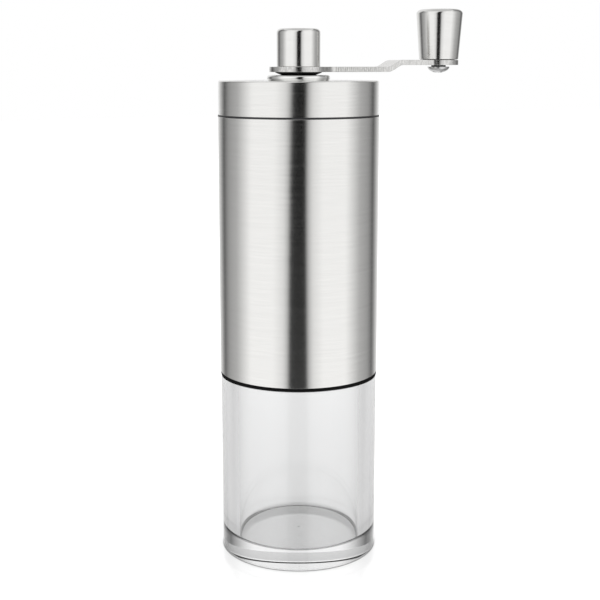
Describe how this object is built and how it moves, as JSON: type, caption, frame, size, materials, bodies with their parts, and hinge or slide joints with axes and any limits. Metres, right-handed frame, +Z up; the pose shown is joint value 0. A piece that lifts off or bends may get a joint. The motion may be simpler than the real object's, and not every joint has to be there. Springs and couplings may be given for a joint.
{
  "type": "hand crank coffee grinder",
  "caption": "Slim cylindrical hand crank coffee grinder with a steel body, lift-off lid and crank, conical burrs and a clear screw-on jar.",
  "frame": {"origin": "centre of the jar's flat base, on the surface that the grinder stands on", "axes": "+Z up along the grinder's axis, +X along the crank arm towards the knob at rest, +Y to the left of the arm seen from the hub"},
  "size_m": [0.0831, 0.05, 0.172],
  "materials": {
    "brushed_steel": "brushed around the axis",
    "satin_steel": "fine satin",
    "polished_steel": "polished",
    "plain_steel": "plain machined",
    "black_plastic": "fine matte",
    "black_rubber": "smooth",
    "ceramic": "unglazed",
    "bearing_brass": "machined",
    "clear_acrylic": "clear, glossy"
  },
  "bodies": {
    "housing": {"body_shell": "brushed_steel", "hopper_liner": "black_plastic", "burr_housing": "black_plastic", "outer_burr": "ceramic", "burr_retainer": "plain_steel", "retainer_screws": "plain_steel", "bearing_bracket": "plain_steel", "bracket_screws": "plain_steel", "bearing_bush": "bearing_brass"},
    "lid": {"lid_shell": "brushed_steel", "lid_boss": "polished_steel", "lid_plug": "black_plastic", "lid_seal": "black_rubber"},
    "bush": {"crank_bush": "black_plastic"},
    "crank": {"crank_arm": "satin_steel", "hub_cap": "satin_steel", "drive_socket": "plain_steel", "knob_bush": "black_plastic"},
    "knob": {"knob": "satin_steel", "knob_insert": "bearing_brass", "knob_screw": "plain_steel", "screw_spacer": "black_plastic"},
    "shaft": {"drive_shaft": "plain_steel", "shaft_clip": "plain_steel", "thrust_washer": "plain_steel", "burr_spring": "plain_steel"},
    "inner_burr": {"inner_burr": "ceramic", "burr_carrier": "black_plastic", "click_balls": "plain_steel"},
    "adjuster": {"adjuster_wheel": "black_plastic", "adjuster_nut": "bearing_brass"},
    "seal": {"jar_seal": "black_rubber"},
    "jar": {"jar": "clear_acrylic"}
  },
  "joints": [
    {"name": "lid_lift", "type": "slide", "parent": "housing", "child": "lid", "axis": [0, 0, 1], "range_m": [0, 0.03]},
    {"name": "crank_lift", "type": "slide", "parent": "lid", "child": "bush", "axis": [0, 0, 1], "range_m": [0, 0.016]},
    {"name": "crank_spin", "type": "hinge", "parent": "bush", "child": "crank", "pos_m": [0, 0, 0.153], "axis": [0, 0, 1], "continuous": true},
    {"name": "knob_spin", "type": "hinge", "parent": "crank", "child": "knob", "pos_m": [0.0507, 0, 0.1561], "axis": [0, 0, 1], "continuous": true},
    {"name": "shaft_spin", "type": "hinge", "parent": "housing", "child": "shaft", "pos_m": [0, 0, 0.095], "axis": [0, 0, 1], "continuous": true},
    {"name": "burr_set", "type": "slide", "parent": "shaft", "child": "inner_burr", "axis": [0, 0, -1], "range_m": [0, 0.001], "deforming": ["burr_spring"]},
    {"name": "adjust_turn", "type": "hinge", "parent": "inner_burr", "child": "adjuster", "pos_m": [0, 0, 0.0636], "axis": [0, 0, -1], "range_deg": [0, 450]},
    {"name": "jar_drop", "type": "slide", "parent": "housing", "child": "seal", "axis": [0, 0, -1], "range_m": [0, 0.008]},
    {"name": "jar_turn", "type": "hinge", "parent": "seal", "child": "jar", "pos_m": [0, 0, 0.0574], "axis": [0, 0, -1], "range_deg": [0, 720]}
  ],
  "couplings": [
    {"joint": "shaft_spin", "follows": "crank_spin", "ratio": 1},
    {"joint": "burr_set", "follows": "adjust_turn", "m_per_rad": 0.0001273},
    {"joint": "jar_drop", "follows": "jar_turn", "m_per_rad": 0.0006366}
  ]
}
